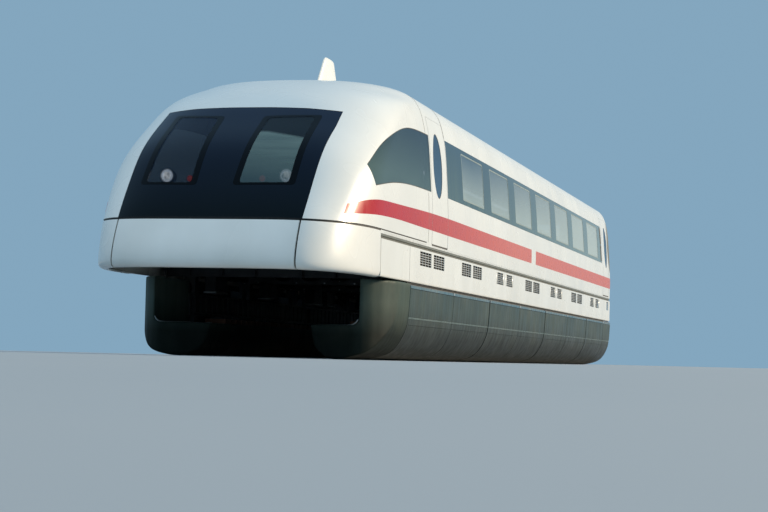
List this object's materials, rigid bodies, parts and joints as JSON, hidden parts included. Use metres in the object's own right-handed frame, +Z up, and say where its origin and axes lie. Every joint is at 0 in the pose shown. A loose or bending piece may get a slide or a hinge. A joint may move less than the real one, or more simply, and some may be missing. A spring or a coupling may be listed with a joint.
{
  "type": "magnetic levitation train end car",
  "caption": "Streamlined white end car of a magnetic levitation train, with a driver's cab, saloon and dark chassis that wrap round a guideway.",
  "frame": {"origin": "on the ground plane, below the middle of the car's length and width", "axes": "+X forward to the nose, +Y to the car's left, +Z up"},
  "size_m": [27, 3.74, 4.69],
  "materials": {
    "white_paint": "gloss",
    "dark_cover": "semi-gloss",
    "tinted_glass": "polished, tinted blue grey",
    "dark_screen": "gloss",
    "chassis_steel": "matt",
    "magnet_iron": "matt",
    "seat_fabric": "woven",
    "bellows_rubber": "matt",
    "cab_plastic": "matt",
    "frame_steel": "matt",
    "grey_panel": "satin"
  },
  "bodies": {
    "car_body": {"cab_bulkhead": "grey_panel", "cab_window_left": "tinted_glass", "cab_window_right": "tinted_glass", "door_front_left": "white_paint", "door_front_right": "white_paint", "door_glass_front_left": "tinted_glass", "door_glass_front_right": "tinted_glass", "door_glass_rear_left": "tinted_glass", "door_glass_rear_right": "tinted_glass", "door_rear_left": "white_paint", "door_rear_right": "white_paint", "driver_desk": "cab_plastic", "driver_seat": "cab_plastic", "equipment_box_front": "frame_steel", "equipment_box_rear": "frame_steel", "floor": "grey_panel", "gangway_frame": "bellows_rubber", "nose_cheek_left": "white_paint", "nose_cheek_right": "white_paint", "nose_frame": "frame_steel", "nose_shell": "white_paint", "rear_end_wall": "grey_panel", "roof": "white_paint", "roof_fin": "white_paint", "seats_left": "seat_fabric", "seats_right": "seat_fabric", "side_wall_left": "white_paint", "side_wall_right": "white_paint", "skirt_left": "white_paint", "skirt_right": "white_paint", "window_band_left": "tinted_glass", "window_band_right": "tinted_glass", "windscreen_glass_left": "tinted_glass", "windscreen_glass_right": "tinted_glass", "windscreen_panel": "dark_screen"},
    "nose_flap": {"nose_flap": "white_paint"},
    "coupler": {"coupler_drawbar": "frame_steel"},
    "chassis_1": {"cover_left_1": "dark_cover", "cover_right_1": "dark_cover", "levitation_frame_1": "chassis_steel", "lift_magnet_left_1": "magnet_iron", "lift_magnet_right_1": "magnet_iron", "nose_cowl_left": "dark_cover", "nose_cowl_right": "dark_cover"},
    "chassis_2": {"cover_left_2": "dark_cover", "cover_right_2": "dark_cover", "levitation_frame_2": "chassis_steel", "lift_magnet_left_2": "magnet_iron", "lift_magnet_right_2": "magnet_iron"},
    "chassis_3": {"cover_left_3": "dark_cover", "cover_right_3": "dark_cover", "levitation_frame_3": "chassis_steel", "lift_magnet_left_3": "magnet_iron", "lift_magnet_right_3": "magnet_iron"},
    "chassis_4": {"cover_left_4": "dark_cover", "cover_right_4": "dark_cover", "levitation_frame_4": "chassis_steel", "lift_magnet_left_4": "magnet_iron", "lift_magnet_right_4": "magnet_iron"}
  },
  "joints": [
    {"name": "chassis_1_yaw", "type": "hinge", "parent": "car_body", "child": "chassis_1", "pos_m": [6.624, 0, 1.5], "axis": [0, 0, 1], "range_deg": [-1.5, 1.5]},
    {"name": "chassis_2_yaw", "type": "hinge", "parent": "car_body", "child": "chassis_2", "pos_m": [0.432, 0, 1.5], "axis": [0, 0, 1], "range_deg": [-0.5, 0.5]},
    {"name": "chassis_3_yaw", "type": "hinge", "parent": "car_body", "child": "chassis_3", "pos_m": [-5.76, 0, 1.5], "axis": [0, 0, -1], "range_deg": [-0.5, 0.5]},
    {"name": "chassis_4_yaw", "type": "hinge", "parent": "car_body", "child": "chassis_4", "pos_m": [-11.098, 0, 1.5], "axis": [0, 0, -1], "range_deg": [-1.5, 1.5]},
    {"name": "coupler_yaw", "type": "hinge", "parent": "car_body", "child": "coupler", "pos_m": [-12.5, 0, 1.5], "axis": [0, 0, -1], "range_deg": [-5, 5]},
    {"name": "nose_flap_hinge", "type": "hinge", "parent": "car_body", "child": "nose_flap", "pos_m": [13.12, 0, 1.21], "axis": [0, 1, 0], "range_deg": [0, 85]}
  ],
  "couplings": [
    {"joint": "chassis_2_yaw", "follows": "chassis_1_yaw", "ratio": 0.3333},
    {"joint": "chassis_3_yaw", "follows": "chassis_1_yaw", "ratio": 0.3333},
    {"joint": "chassis_4_yaw", "follows": "chassis_1_yaw", "ratio": 1}
  ]
}
